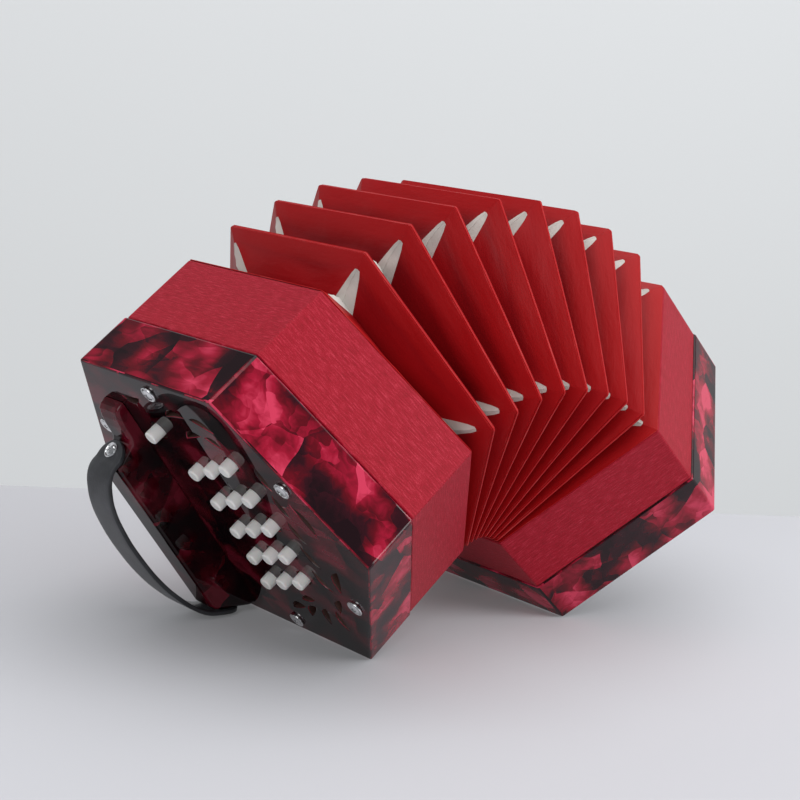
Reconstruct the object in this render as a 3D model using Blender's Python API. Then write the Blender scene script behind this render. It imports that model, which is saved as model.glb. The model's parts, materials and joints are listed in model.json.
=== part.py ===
"""Hexagonal Anglo concertina, thirty keys and an air button, standing with its bellows fanned out.

Units are metres and +Z is up. X runs along the arch of the bellows, from the right-hand end to the
left-hand end, and Y runs along the lower edges that the two ends stand on. Every fold lies in a
plane through one line, the fan axis, which is parallel to Y and lies under the bellows.

Each end is modelled in its own axes: x across the end, away from the hand rail, y up the end and z
out of the end plate, with the origin at the centre of the plate's outer face.
"""
import math

import bmesh
import bpy
from mathutils import Matrix, Vector

# ---------------------------------------------------------------- driving dimensions
GAP = 0.0003                        # clearance between pieces that touch
CASE_FLATS = 0.1850                 # across the flats of an end box
CASE_DEPTH = 0.0332                 # depth of an end box, plate included
CASE_WALL = 0.0050
PLATE = 0.0040                      # thickness of the end plate
FRAME_FLATS = 0.1834                # across the flats of a bellows frame and of a fold
FRAME_DEPTH = 0.0466
FRAME_WALL = 0.0060

FOLDS = 8                           # outward folds, so there are FOLDS + 1 gaps
FAN = math.radians(79.0)            # angle between the planes of the two bellows frames
AXIS_DROP = 0.0223                  # from the fan axis up to the lower side of the bellows
CARD_WIDTH = 0.0270                 # one bellows card, from its ridge to its valley
CARD = 0.0005                       # card thickness
RIDGE = 0.0011                      # thickness of the binding along a fold's ridge
RIDGE_WIDTH = 0.0040                # width of that binding, measured inwards
CARD_SETBACK = 0.0006               # from the ridge's outer edge to a card's outer edge
FOLD_WEB = 0.0012                   # thickness of the hinge where two cards meet in the valley

BUTTON_RADIUS = 0.0038
BUTTON_PROUD = 0.0055               # a button's height above the end plate
BUTTON_HOLE = 0.0047
BUTTON_ROUND = 0.0008
ROW_X = 0.0056                      # the row nearest the hand rail, at its middle button
ROW_PITCH = 0.0178                  # from row to row
ROW_STEP = 0.0073                   # each row starts this much higher than the one before
ROW_BOW = 0.0009                    # the rows bow away from the hand rail at the middle
KEY_Y = -0.0081                     # the middle button of the row nearest the hand rail
KEY_PITCH = 0.0204                  # from button to button along a row
ROWS = 3
KEYS = 5
AIR_X = -0.0162                     # the air button, right-hand end only
AIR_Y = 0.0541
AIR_PAD_X = -0.0440
AIR_PROUD = 0.0063
AIR_HOLE = 0.0055                   # wider, because its lever is short and tilts further

AXLE_X = -0.0260                    # the wire that the levers rock on
AXLE_Z = -0.0080
AXLE_RADIUS = 0.0010
AXLE_POSTS = (-0.0540, -0.0110, 0.0298, 0.0610)
POST = 0.0026
LEVER = 0.0016                      # lever thickness
LEVER_HEIGHT = 0.0030
LEVER_DROP = 0.0004                 # from the axle's middle down to the lever's upper edge
HUB = 0.0030                        # half the length of a lever's hub
HUB_TOP = 0.0022                    # the hub's height above the axle's middle
LEG = 0.0015                        # half the length of the lever's foot on its pad
LEG_HIGH = 0.0040
LEG_LOW = 0.0020
NOTCH = 0.0014                      # half the width of the notch that straddles the axle
PAD_X = -0.0400                     # the pads of the row nearest the hand rail
PAD_PITCH = 0.0110
PAD_RADIUS = 0.0052
PAD = 0.0035
PAD_HOLE = 0.0036
BOARD_Z = -0.0280                   # upper face of the action board
BOARD = 0.0040
PAN_Z = -0.0338                     # upper face of the reed pan
PAN = 0.0102
CHAMBER = 0.0062                    # depth of a reed chamber
CHAMBER_RIB = 0.0012                # half the wall between two chambers
REED_PLATE = 0.0010                 # how far a reed plate stands out of the pan
REED_PLATE_EDGE = 0.0045
CHAMBER_LINES_X = (-0.022, 0.022)
CHAMBER_LINES_Y = (-0.039, -0.013, 0.013, 0.039)

RAIL_X = -0.0445                    # centre line of the hand rail
RAIL_WIDTH = 0.0170
RAIL_TOP = 0.0230                   # its height above the end plate
RAIL_UPPER = [(0.0678, GAP), (0.0672, 0.0042), (0.0655, 0.0062), (0.0610, 0.0075),
              (0.0560, 0.0081), (0.0485, 0.0083), (0.0464, 0.0092), (0.0424, 0.0202),
              (0.0413, 0.0221), (0.0395, RAIL_TOP)]      # low toe, then the slope for the strap's tab
RAIL_LOWER = [(-0.0650, RAIL_TOP), (-0.0675, 0.0223), (-0.0695, 0.0206), (-0.0805, 0.0077),
              (-0.0830, 0.0048), (-0.0845, 0.0022), (-0.0848, GAP)]
STRAP_WIDTH = 0.0200
STRAP = 0.0024
STRAP_KNOTS = [(0.0476, 0.0103), (0.0456, 0.0158), (0.0440, 0.0202), (0.0436, 0.0238),
               (0.0424, 0.0268), (0.0396, 0.0300), (0.0350, 0.0330), (0.0270, 0.0365),
               (0.0130, 0.0392), (-0.0080, 0.0401), (-0.0290, 0.0386), (-0.0450, 0.0352),
               (-0.0570, 0.0312), (-0.0645, 0.0272), (-0.0706, 0.0216), (-0.0760, 0.0153),
               (-0.0810, 0.0094)]    # its centre line as (y, z); both tabs lie on the rail's slopes

# ---------------------------------------------------------------- derived dimensions
TILT = FAN / 2                      # each frame's plane leans this much from upright
STEP = FAN / (FOLDS + 1)            # from one fold to the next
CASE_APOTHEM = CASE_FLATS / 2
FRAME_APOTHEM = FRAME_FLATS / 2
CENTRE = AXIS_DROP + FRAME_APOTHEM  # from the fan axis up to the centre line of the folds
END_DEPTH = FRAME_DEPTH + CASE_DEPTH
AXIS_Z = END_DEPTH * math.sin(TILT) - (CENTRE - CASE_APOTHEM) * math.cos(TILT)
HINGE_RADIUS = AXIS_DROP            # the folds hinge at the lower side of the bellows
SIDES = {"right": -1, "left": 1}    # the side of the arch that an end is on


# ---------------------------------------------------------------- helpers
def clear_scene():
    for item in list(bpy.data.objects):
        bpy.data.objects.remove(item, do_unlink=True)


def material(name, colour, roughness, metallic=0.0):
    found = bpy.data.materials.get(name)
    if found:
        return found
    made = bpy.data.materials.new(name)
    made.use_nodes = True
    shader = made.node_tree.nodes["Principled BSDF"]
    shader.inputs["Base Color"].default_value = (*colour, 1.0)
    shader.inputs["Roughness"].default_value = roughness
    shader.inputs["Metallic"].default_value = metallic
    return made


def pearl():
    return material("crimson pearl celluloid", (0.30, 0.012, 0.035), 0.18)


def leatherette():
    return material("red leatherette", (0.45, 0.015, 0.020), 0.50)


def card_paper():
    return material("red bellows paper", (0.38, 0.008, 0.010), 0.45)


def strap_leather():
    return material("black strap", (0.02, 0.02, 0.022), 0.45)


def ivory():
    return material("ivory plastic", (0.80, 0.78, 0.72), 0.30)


def timber():
    return material("plain timber", (0.55, 0.36, 0.19), 0.65)


def finish(mesh_data, name, mat, parent=None, smooth=False):
    """Turn a bmesh into a named object; its axes are those of parent."""
    bmesh.ops.recalc_face_normals(mesh_data, faces=mesh_data.faces)
    mesh = bpy.data.meshes.new(name)
    mesh_data.to_mesh(mesh)
    mesh_data.free()
    mesh.materials.append(mat)
    if smooth:
        mesh.shade_smooth()
        mesh.set_sharp_from_angle(angle=math.radians(35))
    made = bpy.data.objects.new(name, mesh)
    bpy.context.scene.collection.objects.link(made)
    made.parent = parent
    return made


def move_origin(item, point):
    """Put an object's origin at a point of its parent's axes and leave its shape where it is."""
    turn = item.matrix_basis.to_3x3()
    shift = turn.inverted() @ (Vector(point) - item.location)
    item.data.transform(Matrix.Translation(-shift))
    item.location = point


def extruded(outline, direction, plane):
    """A prism: outline points go through plane() and are swept along direction."""
    made = bmesh.new()
    face = made.faces.new([made.verts.new(plane(p)) for p in outline])
    swept = bmesh.ops.extrude_face_region(made, geom=[face])
    tips = [v for v in swept["geom"] if isinstance(v, bmesh.types.BMVert)]
    bmesh.ops.translate(made, verts=tips, vec=Vector(direction))
    return made


def hexagon(apothem):
    """Corners of a hexagon with flat upper and lower sides, anticlockwise from the right."""
    radius = apothem / math.cos(math.pi / 6)
    return [(radius * math.cos(i * math.pi / 3), radius * math.sin(i * math.pi / 3)) for i in range(6)]


def circle(x, y, radius, count):
    turns = [2 * math.pi * (i + 0.5) / count for i in range(count)]
    return [(x + radius * math.cos(t), y + radius * math.sin(t)) for t in turns]


def hex_prism(apothem, low, high):
    return extruded(hexagon(apothem), (0, 0, high - low), lambda p: (p[0], p[1], low))


def hex_ring(outer, inner, low, high):
    """A hexagonal frame with upright inner walls."""
    made = bmesh.new()
    loops = []
    for apothem in (outer, inner):
        for z in (low, high):
            loops.append([made.verts.new((x, y, z)) for x, y in hexagon(apothem)])
    outer_low, outer_high, inner_low, inner_high = loops
    for first, second in ((outer_low, outer_high), (outer_high, inner_high),
                          (inner_high, inner_low), (inner_low, outer_low)):
        for i in range(6):
            k = (i + 1) % 6
            made.faces.new((first[i], first[k], second[k], second[i]))
    return made


def hex_tray(outer, inner, rim, floor, base):
    """A six-sided box that is open at z = rim and closed between z = floor and z = base."""
    made = bmesh.new()
    loops = []
    for apothem, z in ((outer, base), (outer, rim), (inner, rim), (inner, floor)):
        loops.append([made.verts.new((x, y, z)) for x, y in hexagon(apothem)])
    for first, second in zip(loops, loops[1:]):
        for i in range(6):
            k = (i + 1) % 6
            made.faces.new((first[i], first[k], second[k], second[i]))
    made.faces.new(loops[0])
    made.faces.new(loops[-1])
    return made


def box(low, high):
    made = bmesh.new()
    bmesh.ops.create_cube(made, size=1.0)
    size = Vector(high) - Vector(low)
    middle = (Vector(high) + Vector(low)) / 2
    bmesh.ops.scale(made, verts=made.verts, vec=size)
    bmesh.ops.translate(made, verts=made.verts, vec=middle)
    return made


def helper(mesh_data, name, parent, smooth=False):
    """A cutter or an added shape, which is left out of the part itself."""
    made = finish(mesh_data, name, timber(), parent, smooth)
    made.hide_render = True
    made.display_type = 'WIRE'
    return made


def combine(item, other, operation):
    step = item.modifiers.new(other.name, 'BOOLEAN')
    step.operation = operation
    step.solver = 'EXACT'
    step.object = other


def merged(shapes):
    """One bmesh that holds several shapes which don't touch."""
    whole = bmesh.new()
    for shape in shapes:
        mesh = bpy.data.meshes.new("shape")
        shape.to_mesh(mesh)
        shape.free()
        whole.from_mesh(mesh)
        bpy.data.meshes.remove(mesh)
    return whole


# ---------------------------------------------------------------- places
def arch_matrix(angle):
    """Axes of a fold's plane: X along the arch, Y across, Z away from the fan axis."""
    return Matrix.Translation((0, 0, AXIS_Z)) @ Matrix.Rotation(angle, 4, 'Y')


def end_matrix(side):
    """Axes of one end, at the centre of its plate's outer face."""
    up = Vector((math.sin(side * TILT), 0, math.cos(side * TILT)))
    out = Vector((side * math.cos(TILT), 0, -math.sin(TILT)))
    across = Vector((0, side, 0))
    middle = Vector((0, 0, AXIS_Z)) + up * CENTRE + out * END_DEPTH
    made = Matrix((across, up, out)).transposed().to_4x4()
    made.translation = middle
    return made


def button_places(hand):
    """Name, x, y and pad x of each button, from the top of the row nearest the hand rail."""
    places = []
    for row in range(ROWS):
        for key in range(KEYS):
            middle = key - (KEYS - 1) / 2
            x = ROW_X + ROW_PITCH * row - ROW_BOW * middle ** 2
            y = KEY_Y - KEY_PITCH * middle + ROW_STEP * row
            name = f"{hand}_button_{row + 1}_{key + 1}"
            places.append((name, x, y, PAD_X - PAD_PITCH * row))
    if hand == "right":
        places.append(("air_button", AIR_X, AIR_Y, AIR_PAD_X))
    return places


# ---------------------------------------------------------------- fretwork
def leaf(x, y, length, width, turn, bow=0.0):
    """A pointed leaf round (x, y), turned and bowed sideways."""
    points = []
    for edge in (1, -1):
        for i in range(5):
            t = i / 5 if edge == 1 else 1 - i / 5
            along = (t - 0.5) * length
            side = edge * width / 2 * math.sin(math.pi * t) + bow * (1 - (2 * t - 1) ** 2)
            points.append((along, side))
    cos, sin = math.cos(turn), math.sin(turn)
    return [(x + a * cos - s * sin, y + a * sin + s * cos) for a, s in points]


def fret_leaves():
    """The cut-outs round the button field: a scroll above it, a vine beside it, a spray below."""
    leaves = [leaf(-0.0240, 0.0745, 0.016, 0.0042, math.radians(8), -0.0020),
              leaf(0.0100, 0.0705, 0.018, 0.0042, math.radians(12), 0.0025),
              leaf(0.0315, 0.0705, 0.016, 0.0042, math.radians(-18), 0.0020),
              leaf(0.0165, 0.0590, 0.016, 0.0042, math.radians(20), 0.0020),
              leaf(0.0330, 0.0595, 0.012, 0.0040, math.radians(-25), 0.0015)]
    for i in range(5):
        y = 0.044 - 0.0185 * i
        x = 0.0600 - 0.0006 * (i - 1) ** 2
        leaves.append(leaf(x, y, 0.0150, 0.0046, math.radians(100 + 5 * i), 0.0012))
    leaves.append(leaf(0.0730, 0.0210, 0.020, 0.0052, math.radians(112), -0.002))
    leaves.append(leaf(0.0700, -0.0250, 0.020, 0.0052, math.radians(66), 0.002))
    for i, turn in enumerate((24, 48, 72, 96)):
        angle = math.radians(turn)
        x = 0.012 + 0.0125 * i
        y = -0.068 + 0.0016 * i
        leaves.append(leaf(x, y, 0.0150, 0.0048, angle, 0.0015))
    leaves.append(leaf(0.0270, -0.0560, 0.013, 0.0042, math.radians(20), 0.001))
    leaves.append(leaf(0.0560, -0.0490, 0.014, 0.0046, math.radians(60), 0.0012))
    return leaves


# ---------------------------------------------------------------- the two ends
def end_box(hand, near, axes):
    """Pearl box: six walls and the fretted end plate, glued up as one piece."""
    shape = hex_tray(CASE_APOTHEM, CASE_APOTHEM - CASE_WALL, -CASE_DEPTH, -PLATE, 0.0)
    made = finish(shape, f"{hand}_end_box", pearl(), axes)
    cuts = []
    for name, x, y, _ in button_places(hand):
        cuts.append(circle(near * x, y, AIR_HOLE if name == "air_button" else BUTTON_HOLE, 12))
    for outline in fret_leaves():
        cuts.append([(near * x, y) for x, y in outline])
    reach = 3 * PLATE
    prisms = [extruded(c, (0, 0, reach), lambda p: (p[0], p[1], -reach / 2 - PLATE / 2)) for c in cuts]
    combine(made, helper(merged(prisms), f"{hand}_plate_cutters", axes), 'DIFFERENCE')
    return made


def action_board(hand, near, axes):
    """Board under the pads, with its air holes, the posts and the axle wire of the levers."""
    board = hex_prism(CASE_APOTHEM - CASE_WALL - GAP, BOARD_Z - BOARD, BOARD_Z)
    made = finish(board, f"{hand}_action_board", timber(), axes)
    holes = []
    for _, _, y, pad_x in button_places(hand):
        outline = circle(near * pad_x, y, PAD_HOLE, 10)
        holes.append(extruded(outline, (0, 0, 3 * BOARD), lambda p: (p[0], p[1], BOARD_Z - 2 * BOARD)))
    combine(made, helper(merged(holes), f"{hand}_pad_holes", axes), 'DIFFERENCE')
    posts = []
    for y in AXLE_POSTS:
        middle = near * AXLE_X
        low = (middle - 2 * AXLE_RADIUS, y - POST / 2, BOARD_Z - BOARD / 2)
        high = (middle + 2 * AXLE_RADIUS, y + POST / 2, AXLE_Z + 1.5 * AXLE_RADIUS)
        posts.append(box(low, high))
    combine(made, helper(merged(posts), f"{hand}_axle_posts", axes), 'UNION')
    start = AXLE_POSTS[0]
    turn = circle(near * AXLE_X, AXLE_Z, AXLE_RADIUS, 8)
    wire = extruded(turn, (0, AXLE_POSTS[-1] - start, 0), lambda p: (p[0], start, p[1]))
    combine(made, helper(wire, f"{hand}_axle_wire", axes), 'UNION')
    return made


def reed_pan(hand, _, axes):
    """Slab with a chamber for each reed on one face and the reed plates on the other."""
    pan = hex_prism(FRAME_APOTHEM - FRAME_WALL - GAP, PAN_Z - PAN, PAN_Z)
    for lines, normal in ((CHAMBER_LINES_X, Vector((1, 0, 0))), (CHAMBER_LINES_Y, Vector((0, 1, 0)))):
        for place in lines:
            everything = pan.verts[:] + pan.edges[:] + pan.faces[:]
            bmesh.ops.bisect_plane(pan, geom=everything, plane_co=normal * place, plane_no=normal)
    bmesh.ops.recalc_face_normals(pan, faces=pan.faces)
    upper = [f for f in pan.faces if f.normal.z > 0.9]
    lower = [f for f in pan.faces if f.normal.z < -0.9]
    bmesh.ops.inset_individual(pan, faces=upper, thickness=CHAMBER_RIB, depth=-CHAMBER,
                               use_even_offset=True)
    bmesh.ops.inset_individual(pan, faces=lower, thickness=REED_PLATE_EDGE, depth=REED_PLATE,
                               use_even_offset=True)
    return finish(pan, f"{hand}_reed_pan", timber(), axes)


def bellows_frame(hand, _, axes):
    """Leather-covered wooden frame that carries the reed pan and takes the first bellows card."""
    inner = FRAME_APOTHEM - FRAME_WALL
    shape = hex_ring(FRAME_APOTHEM, inner, -END_DEPTH, -CASE_DEPTH - GAP)
    return finish(shape, f"{hand}_bellows_frame", leatherette(), axes)


def hand_rail(hand, near, axes):
    """Palm rest, a shaped bar screwed to the end plate beside the buttons."""
    start = near * RAIL_X - RAIL_WIDTH / 2
    outline = RAIL_UPPER + RAIL_LOWER
    shape = extruded(outline, (RAIL_WIDTH, 0, 0), lambda p: (start, p[0], p[1]))
    return finish(shape, f"{hand}_hand_rail", pearl(), axes)


def strap_route():
    """Points of a smooth curve through the strap's knots, two to each stretch."""
    route = []
    for i in range(len(STRAP_KNOTS) - 1):
        before = Vector(STRAP_KNOTS[max(i - 1, 0)])
        here = Vector(STRAP_KNOTS[i])
        there = Vector(STRAP_KNOTS[i + 1])
        after = Vector(STRAP_KNOTS[min(i + 2, len(STRAP_KNOTS) - 1)])
        for t in (0.0, 0.5):
            bend = 2 * here + (there - before) * t
            bend += (2 * before - 5 * here + 4 * there - after) * t ** 2
            bend += (3 * here - before - 3 * there + after) * t ** 3
            route.append(bend / 2)
    return route + [Vector(STRAP_KNOTS[-1])]


def hand_strap(hand, near, axes):
    """Leather strap that holds the back of the hand, with a tab on each slope of the rail."""
    route = strap_route()
    shape = bmesh.new()
    sections = []
    for i, point in enumerate(route):
        along = route[min(i + 1, len(route) - 1)] - route[max(i - 1, 0)]
        side = Vector((-along.y, along.x)).normalized() * STRAP / 2
        section = []
        for sign, edge in ((1, -1), (1, 1), (-1, 1), (-1, -1)):
            place = point + side * sign
            x = near * RAIL_X + edge * STRAP_WIDTH / 2
            section.append(shape.verts.new((x, place.x, place.y)))
        sections.append(section)
    for first, second in zip(sections, sections[1:]):
        for i in range(4):
            k = (i + 1) % 4
            shape.faces.new((first[i], first[k], second[k], second[i]))
    shape.faces.new(sections[0])
    shape.faces.new(sections[-1])
    return finish(shape, f"{hand}_hand_strap", strap_leather(), axes, smooth=True)


def lever_profile(reach, pad_reach):
    """Outline of a lever round its axle as (x, z): x towards the button, z out of the end."""
    high = -LEVER_DROP
    low = high - LEVER_HEIGHT
    pad_top = BOARD_Z + GAP + PAD - AXLE_Z
    return [(NOTCH, low), (reach, low), (reach, high), (HUB, high), (HUB, HUB_TOP), (-HUB, HUB_TOP),
            (-HUB, high), (-pad_reach - LEG, pad_top + LEG_HIGH), (-pad_reach - LEG, pad_top),
            (-pad_reach + LEG, pad_top), (-pad_reach + LEG, pad_top + LEG_LOW), (-HUB, low),
            (-NOTCH, low), (-NOTCH, NOTCH), (NOTCH, NOTCH)]


def button(name, x, y, pad_x, near, axes):
    """Button, lever and pad, which rock as one piece on the axle."""
    axle_x = near * AXLE_X
    profile = lever_profile(x - AXLE_X, AXLE_X - pad_x)
    start = y - LEVER / 2
    lever = extruded(profile, (0, LEVER, 0), lambda p: (axle_x + near * p[0], start, AXLE_Z + p[1]))
    made = finish(lever, name, ivory(), axes, smooth=True)
    foot = AXLE_Z - LEVER_DROP - LEVER_HEIGHT
    top = AIR_PROUD if name == "air_button" else BUTTON_PROUD
    outline = circle(near * x, y, BUTTON_RADIUS, 12)
    cap = extruded(outline, (0, 0, top - foot), lambda p: (p[0], p[1], foot))
    crown = [e for e in cap.edges if min(v.co.z for v in e.verts) > top - GAP]
    bmesh.ops.bevel(cap, geom=crown, offset=BUTTON_ROUND, segments=1, affect='EDGES')
    combine(made, helper(cap, f"{name}_cap", axes, smooth=True), 'UNION')
    pad_outline = circle(near * pad_x, y, PAD_RADIUS, 10)
    pad_low = BOARD_Z + GAP
    bite = 0.0002                   # the pad is glued this far into the lever's foot
    pad = extruded(pad_outline, (0, 0, PAD + bite), lambda p: (p[0], p[1], pad_low))
    combine(made, helper(pad, f"{name}_pad", axes, smooth=True), 'UNION')
    return made


def build_end(hand):
    side = SIDES[hand]
    near = -side
    axes = bpy.data.objects.new(f"{hand}_end_axes", None)
    bpy.context.scene.collection.objects.link(axes)
    axes.matrix_world = end_matrix(side)
    for piece in (end_box, action_board, reed_pan, bellows_frame, hand_rail, hand_strap):
        piece(hand, near, axes)
    for name, x, y, pad_x in button_places(hand):
        made = button(name, x, y, pad_x, near, axes)
        pivot = (near * AXLE_X, y, AXLE_Z)
        for shape in [made] + [step.object for step in made.modifiers]:
            move_origin(shape, pivot)


# ---------------------------------------------------------------- the bellows
def fold_ring(number):
    """Binding along the ridge of one outward fold, a thin six-sided frame."""
    inner = FRAME_APOTHEM - RIDGE_WIDTH
    shape = hex_ring(FRAME_APOTHEM, inner, -RIDGE / 2, RIDGE / 2)
    upright = Matrix(((0, 0, 1), (1, 0, 0), (0, 1, 0))).to_4x4()
    bmesh.ops.transform(shape, matrix=Matrix.Translation((0, 0, CENTRE)) @ upright, verts=shape.verts)
    made = finish(shape, f"bellows_fold_{number}", card_paper())
    made.matrix_world = arch_matrix(-TILT + STEP * number)
    return made


def valley_section(corner):
    """Section through a pair of cards at one corner, as (along the arch, across, out) points."""
    spread = math.tan(STEP / 2)
    stand_off = RIDGE / 2 + GAP + CARD / 2

    def place(inset, share, shift):
        scale = (FRAME_APOTHEM - inset) / FRAME_APOTHEM
        out = CENTRE + corner[1] * scale
        half = out * spread - stand_off
        return Vector((share * half + shift, corner[0] * scale, out))

    outer = (CENTRE + corner[1]) * spread - stand_off
    depth = math.sqrt(CARD_WIDTH ** 2 - outer ** 2)
    thick = CARD / 2
    return [place(CARD_SETBACK, -1, -thick), place(CARD_SETBACK, -1, thick), place(depth - FOLD_WEB, 0, 0),
            place(CARD_SETBACK, 1, -thick), place(CARD_SETBACK, 1, thick),
            place(depth, 0, thick), place(depth, 0, -thick)]


def fold_cards(number):
    """The two cards that meet in one valley, mitred at the six corners."""
    shape = bmesh.new()
    sections = []
    for corner in hexagon(FRAME_APOTHEM):
        sections.append([shape.verts.new(p) for p in valley_section(corner)])
    for i in range(6):
        first, second = sections[i], sections[(i + 1) % 6]
        for a in range(len(first)):
            b = (a + 1) % len(first)
            shape.faces.new((first[a], first[b], second[b], second[a]))
    bmesh.ops.triangulate(shape, faces=shape.faces)
    made = finish(shape, f"fold_cards_{number}", card_paper())
    made.matrix_world = arch_matrix(-TILT + STEP * (number - 0.5))
    return made


def hinge_point(number):
    """Where gap number opens and shuts: half way between its folds, at their lower side."""
    angle = -TILT + STEP * (number - 0.5)
    return arch_matrix(angle) @ Vector((0, 0, HINGE_RADIUS))


def build_bellows():
    for number in range(1, FOLDS + 2):
        move_origin(fold_cards(number), hinge_point(number))
    for number in range(1, FOLDS + 1):
        move_origin(fold_ring(number), hinge_point(number))


def main():
    clear_scene()
    for hand in SIDES:
        build_end(hand)
    build_bellows()


main()
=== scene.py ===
# %% [markdown]
# # A concertina in crimson pearl
#
# Two six-sided ends are joined by bellows that stand fanned out. A working model, the frame, already
# fixes every size, every body and how each body moves. This lesson dresses that frame: each visible
# piece is modelled with rounded edges, fretwork, folds and gussets, and gets a finish of its own.

# %% Load the fixed frame
import json
import math
import random

import bpy
from mathutils import Matrix, Vector, noise


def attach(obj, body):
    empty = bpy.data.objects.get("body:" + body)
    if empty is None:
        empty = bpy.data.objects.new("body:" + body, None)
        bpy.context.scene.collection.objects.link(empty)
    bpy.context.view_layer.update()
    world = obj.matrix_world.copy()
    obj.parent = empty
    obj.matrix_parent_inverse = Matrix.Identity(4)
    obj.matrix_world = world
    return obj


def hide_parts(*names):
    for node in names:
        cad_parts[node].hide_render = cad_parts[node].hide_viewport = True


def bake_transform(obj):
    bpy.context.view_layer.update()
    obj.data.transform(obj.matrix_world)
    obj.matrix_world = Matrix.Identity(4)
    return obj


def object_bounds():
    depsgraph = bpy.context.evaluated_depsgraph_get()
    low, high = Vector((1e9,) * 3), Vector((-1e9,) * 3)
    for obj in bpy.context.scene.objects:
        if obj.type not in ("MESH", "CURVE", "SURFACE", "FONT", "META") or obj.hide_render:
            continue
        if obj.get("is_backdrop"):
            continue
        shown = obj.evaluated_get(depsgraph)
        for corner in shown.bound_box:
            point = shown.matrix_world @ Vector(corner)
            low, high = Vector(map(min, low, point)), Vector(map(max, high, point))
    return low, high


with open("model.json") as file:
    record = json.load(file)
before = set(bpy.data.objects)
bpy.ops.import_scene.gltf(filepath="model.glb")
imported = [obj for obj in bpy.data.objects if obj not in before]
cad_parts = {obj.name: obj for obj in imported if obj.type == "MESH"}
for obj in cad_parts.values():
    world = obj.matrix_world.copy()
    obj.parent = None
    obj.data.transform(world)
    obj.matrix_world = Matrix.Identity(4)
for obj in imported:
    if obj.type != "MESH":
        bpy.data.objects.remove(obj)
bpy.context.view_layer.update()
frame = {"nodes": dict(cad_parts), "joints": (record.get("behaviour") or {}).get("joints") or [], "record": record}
bpy.ops.object.select_all(action='DESELECT')

# %% [markdown]
# ## Axes of one end
#
# Each end leans outwards, so nothing on it is level. It's easier to model an end lying flat: x runs
# across it towards the buttons, y runs up it, and z points out of the end plate. The two rest faces
# in the record give those directions, and one matrix then carries finished pieces to their place.
# The left-hand end is the mirror image of the right-hand one across the middle of the arch.

# %% Read the end's axes from the record
def mount_axis(name):
    found = next(m for m in frame["record"]["mounts"] if m["name"] == name)
    return Vector(found["axis"])


def span(node, direction):
    """Lowest and highest place of a node along a direction."""
    places = [v.co.dot(direction) for v in frame["nodes"][node].data.vertices]
    return min(places), max(places)


OUT = mount_axis("right_end_face")
UP = -mount_axis("right_lower_side")
ACROSS = UP.cross(OUT)
case_low, case_high = span("right_end_box", UP)
case_back, plate_face = span("right_end_box", OUT)
END = Matrix((ACROSS, UP, OUT)).transposed().to_4x4()
END.translation = UP * (case_low + case_high) / 2 + OUT * plate_face
MIRROR = Matrix.Scale(-1, 4, (1, 0, 0))

# %% Measure the end and the arch
def in_end(node):
    """Lowest and highest corner of a right-hand node in the end's own axes."""
    points = [END.inverted() @ v.co for v in frame["nodes"][node].data.vertices]
    return [Vector([pick(p[i] for p in points) for i in range(3)]) for pick in (min, max)]


CASE_APOTHEM = (case_high - case_low) / 2
CASE_DEPTH = plate_face - case_back
frame_low, frame_high = span("right_bellows_frame", UP)
bellows_face = span("right_bellows_frame", OUT)[0]
FRAME_APOTHEM = (frame_high - frame_low) / 2
TILT = -math.asin(OUT.z)
AXIS_Z = -bellows_face / math.sin(TILT)
CENTRE = (frame_low + frame_high) / 2 - AXIS_Z * math.cos(TILT)
FOLDS = sum(name.startswith("bellows_fold_") for name in frame["nodes"])
STEP = 2 * TILT / (FOLDS + 1)
print(f"end {2000 * CASE_APOTHEM:.1f} mm across and {1000 * CASE_DEPTH:.1f} mm deep, leaning "
      f"{math.degrees(TILT):.1f} degrees, {FOLDS} folds {math.degrees(STEP):.2f} degrees apart")

# %% [markdown]
# ## Tools of the bench
#
# A few short helpers save repeating the same clicks. One opens a piece in edit mode with only the
# faces, edges or vertices selected that pass a test of place or direction. The others apply a
# modifier, turn an outline into a plate, and seat a finished piece together with its mirror image.

# %% Select by a test
def work_on(piece):
    bpy.ops.object.select_all(action='DESELECT')
    piece.select_set(True)
    bpy.context.view_layer.objects.active = piece


def choose(piece, kind, test):
    """Open the piece in edit mode with only those parts selected that pass the test."""
    work_on(piece)
    bpy.ops.object.mode_set(mode='EDIT')
    bpy.ops.mesh.select_mode(type=kind)
    bpy.ops.mesh.select_all(action='DESELECT')
    bpy.ops.object.mode_set(mode='OBJECT')
    parts = {'VERT': piece.data.vertices, 'EDGE': piece.data.edges, 'FACE': piece.data.polygons}[kind]
    for part in parts:
        part.select = bool(test(part))
    bpy.ops.object.mode_set(mode='EDIT')


def leave():
    bpy.ops.object.mode_set(mode='OBJECT')


# %% Apply modifiers
def apply(piece, kind, **settings):
    """Add a modifier, set it and apply it."""
    work_on(piece)
    step = piece.modifiers.new(kind.lower(), kind)
    for name, value in settings.items():
        setattr(step, name, value)
    bpy.ops.object.modifier_apply(modifier=step.name)


def round_edges(piece, width, segments=3, angle=30):
    apply(piece, 'BEVEL', width=width, segments=segments, limit_method='ANGLE',
          angle_limit=math.radians(angle), use_clamp_overlap=True)


FLAT_AREA = 2e-5


def shade(piece, angle=35, keep_flat=True):
    """Smooth, but with every large face kept flat, so that light doesn't streak across it."""
    work_on(piece)
    bpy.ops.object.shade_smooth_by_angle(angle=math.radians(angle))
    for face in piece.data.polygons:
        if keep_flat and face.area > FLAT_AREA:
            face.use_smooth = False


def join(pieces, name):
    bpy.ops.object.select_all(action='DESELECT')
    for piece in pieces:
        piece.select_set(True)
    bpy.context.view_layer.objects.active = pieces[0]
    bpy.ops.object.join()
    whole = bpy.context.active_object
    whole.name = whole.data.name = name
    return whole


# %% Primitives and outlines
def added(name):
    piece = bpy.context.active_object
    piece.name = piece.data.name = name
    bpy.ops.object.transform_apply(location=True, rotation=True, scale=True)
    return piece


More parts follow.
